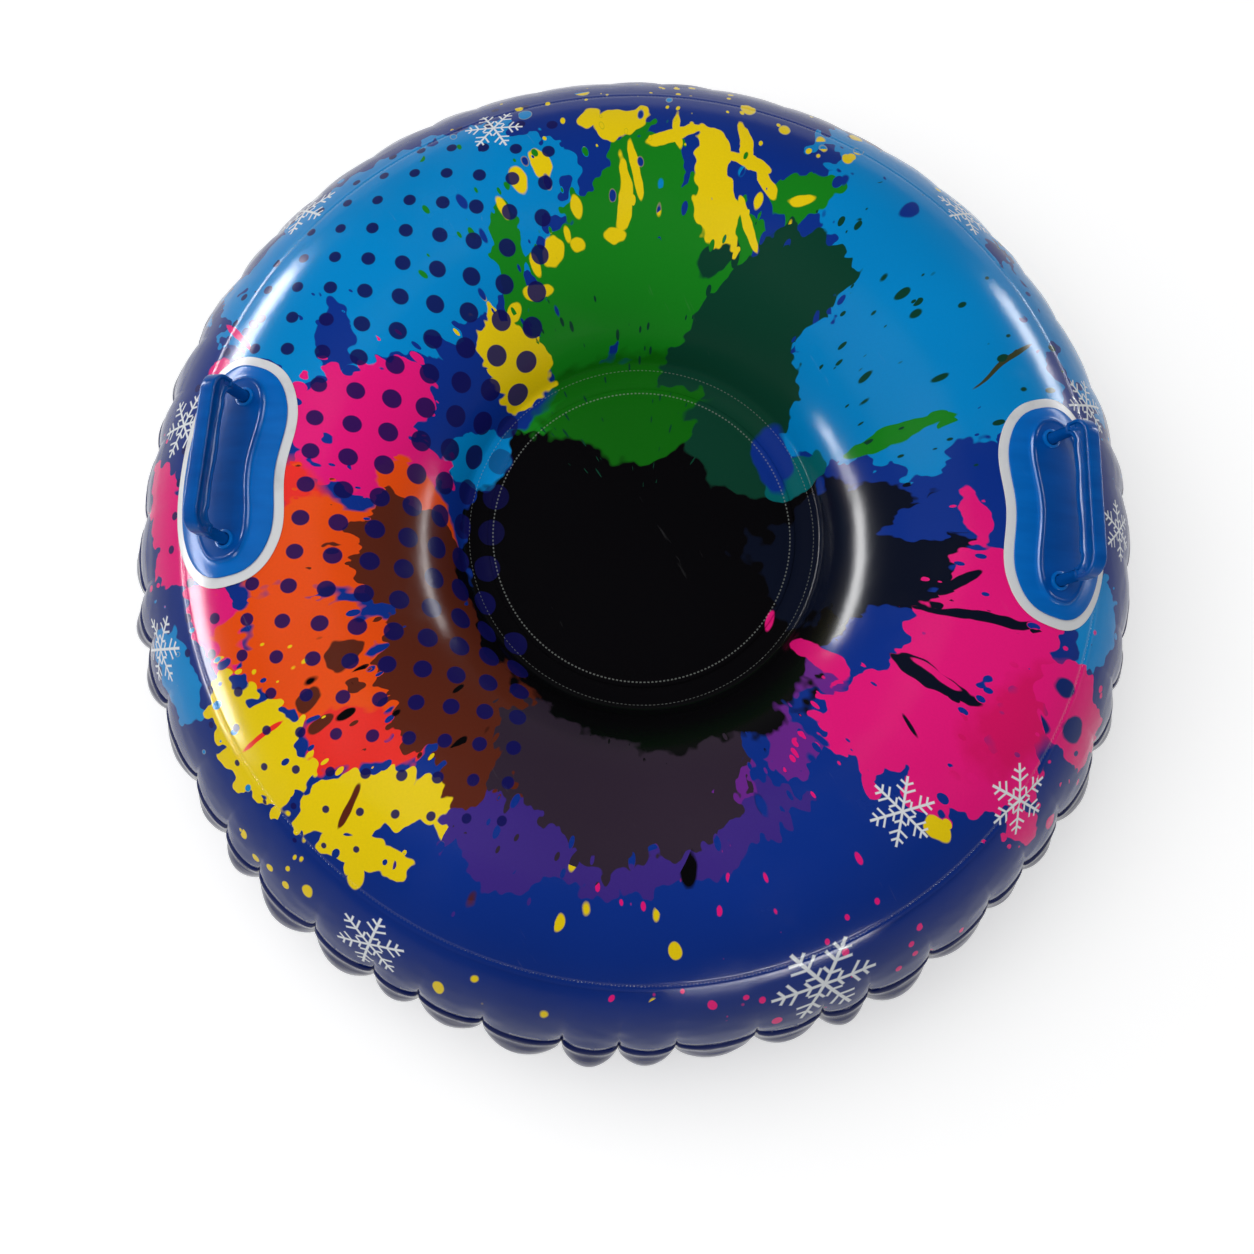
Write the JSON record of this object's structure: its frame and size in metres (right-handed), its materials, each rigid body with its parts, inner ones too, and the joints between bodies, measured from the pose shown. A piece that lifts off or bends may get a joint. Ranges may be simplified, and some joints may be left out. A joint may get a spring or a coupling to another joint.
{
  "type": "inflatable snow tube",
  "caption": "Inflatable snow tube: a fat printed ring with a closed seat, a puckered rim seam, a plain dark base, a grip handle at each side and an air valve underneath.",
  "frame": {"origin": "on the ground under the middle of the ring, at the bottom centre of the bounding box", "axes": "+Z is the ring's axis and points up out of the seat; +X points to the right handle; +Y points to the side where the valve is"},
  "size_m": [1.0108, 1.0196, 0.3732],
  "materials": {
    "printed_pvc": "glossy vinyl sheet printed with paint splashes, dots and snowflakes",
    "navy_pvc": "glossy dark navy vinyl sheet",
    "seat_print": "glossy near-black printed vinyl sheet",
    "white_pvc": "satin white vinyl sheet",
    "blue_moulding": "glossy flexible blue moulding",
    "grip_moulding": "glossy blue moulding",
    "valve_plastic": "satin black moulding",
    "silicone": "soft translucent disc"
  },
  "bodies": {
    "tube": {"top_skin": "printed_pvc", "side_skin": "printed_pvc", "base_skin": "navy_pvc", "seat_disc": "seat_print", "handle_patch_right": "white_pvc", "handle_patch_left": "white_pvc", "handle_base_right": "blue_moulding", "handle_base_left": "blue_moulding", "grip_right": "grip_moulding", "grip_left": "grip_moulding", "valve_seat": "navy_pvc"},
    "valve_plug": {"valve_plug": "valve_plastic"},
    "valve_cap": {"valve_cap": "valve_plastic"},
    "valve_flap": {"valve_flap": "silicone"}
  },
  "joints": [
    {"name": "plug_slide", "type": "slide", "parent": "tube", "child": "valve_plug", "axis": [0, -1, 0], "range_m": [0, 0.03]},
    {"name": "cap_slide", "type": "slide", "parent": "valve_plug", "child": "valve_cap", "axis": [0, -1, 0], "range_m": [0, 0.02]},
    {"name": "flap_slide", "type": "slide", "parent": "valve_plug", "child": "valve_flap", "axis": [0, 1, 0], "range_m": [0, 0.002], "stiffness_N_per_m": 30, "springref_m": -0.0005}
  ]
}
